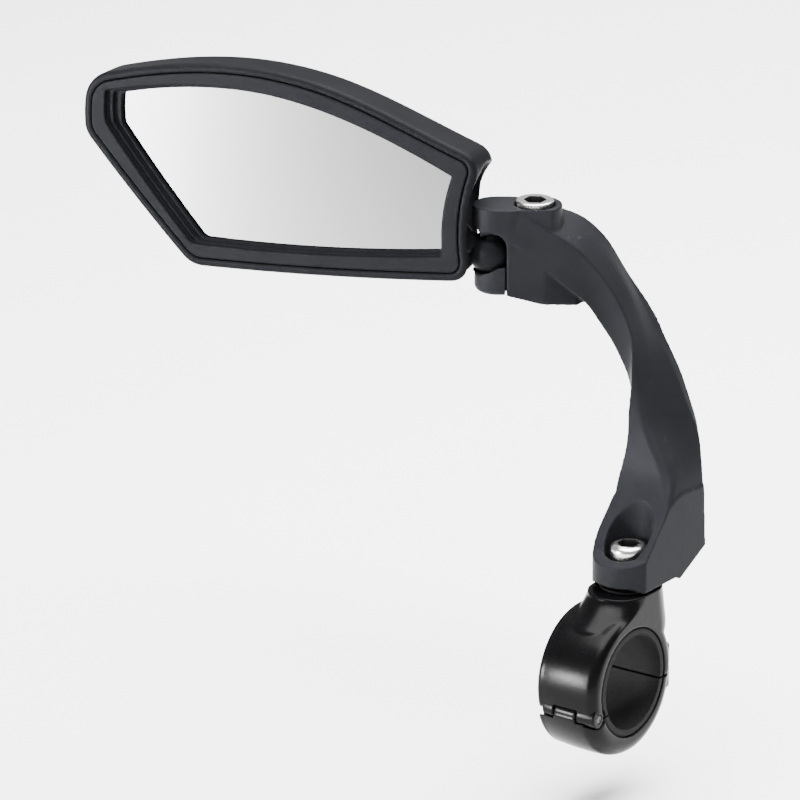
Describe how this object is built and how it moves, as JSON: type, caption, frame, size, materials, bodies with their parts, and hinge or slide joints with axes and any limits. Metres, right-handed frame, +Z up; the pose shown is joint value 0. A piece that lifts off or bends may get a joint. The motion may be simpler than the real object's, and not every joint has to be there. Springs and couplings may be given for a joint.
{
  "type": "bicycle handlebar mirror",
  "caption": "Handlebar mirror: hinged clamp, swivelling curved arm and ball-jointed mirror head with a recessed pentagonal glass.",
  "frame": {"origin": "on the handlebar's axis inside the clamp, level with the swivel screw's side position", "axes": "+X along the handlebar towards its middle, +Y forwards, away from the rider, +Z up along the swivel screw"},
  "size_m": [0.1396, 0.0544, 0.1492],
  "materials": {
    "black_metal": "gloss black anodised and lacquered aluminium",
    "rubber": "matt black rubber",
    "steel": "bright stainless steel",
    "dark_steel": "blackened spring steel",
    "washer_plastic": "black acetal",
    "arm_plastic": "charcoal glass-filled nylon, satin with a fine grain",
    "housing_plastic": "charcoal moulded plastic, satin with a fine grain",
    "bezel_plastic": "charcoal moulded plastic, satin",
    "mirror": "polished silvered glass",
    "foam": "double-sided foam tape"
  },
  "bodies": {
    "clamp": {"clamp_body": "black_metal", "upper_liner": "rubber", "hinge_pin": "steel", "swivel_screw": "steel", "friction_washer": "washer_plastic"},
    "strap": {"clamp_strap": "black_metal", "lower_liner": "rubber", "clamp_screw": "steel", "clamp_screw_washer": "steel"},
    "arm": {"arm": "arm_plastic", "spring_washer": "dark_steel", "ball_clamp_screw": "steel", "ball_clamp_washer": "steel"},
    "jaw": {"ball_jaw": "arm_plastic", "ball_clamp_nut": "steel"},
    "ball_seat": {"lower_ball_cup": "washer_plastic"},
    "ball_cap": {"upper_ball_cup": "washer_plastic"},
    "mirror_head": {"ball_stud": "housing_plastic", "mirror_housing": "housing_plastic", "front_bezel": "bezel_plastic", "mirror_glass": "mirror", "glass_pad": "foam"}
  },
  "joints": [
    {"name": "clamp_hinge", "type": "hinge", "parent": "clamp", "child": "strap", "pos_m": [0, -0.01375, -0.0046], "axis": [-1, 0, 0], "range_deg": [0, 60]},
    {"name": "arm_swivel", "type": "hinge", "parent": "clamp", "child": "arm", "pos_m": [0, 0.00845, 0.0195], "axis": [0, 0, 1], "range_deg": [-90, 90]},
    {"name": "jaw_release", "type": "slide", "parent": "arm", "child": "jaw", "axis": [0, 0, -1], "range_m": [0, 0.0006]},
    {"name": "ball_pan", "type": "hinge", "parent": "arm", "child": "ball_seat", "pos_m": [-0.03426, 0.00252, 0.0942], "axis": [0, 0, 1], "range_deg": [-12, 12]},
    {"name": "ball_swing", "type": "hinge", "parent": "ball_seat", "child": "ball_cap", "pos_m": [-0.03426, 0.00252, 0.0942], "axis": [0.1901, -0.9779, 0.0872], "range_deg": [-3, 8]},
    {"name": "ball_nod", "type": "hinge", "parent": "ball_cap", "child": "mirror_head", "pos_m": [-0.03426, 0.00252, 0.0942], "axis": [0.9816, 0.1908, 0], "range_deg": [-6, 15]}
  ]
}
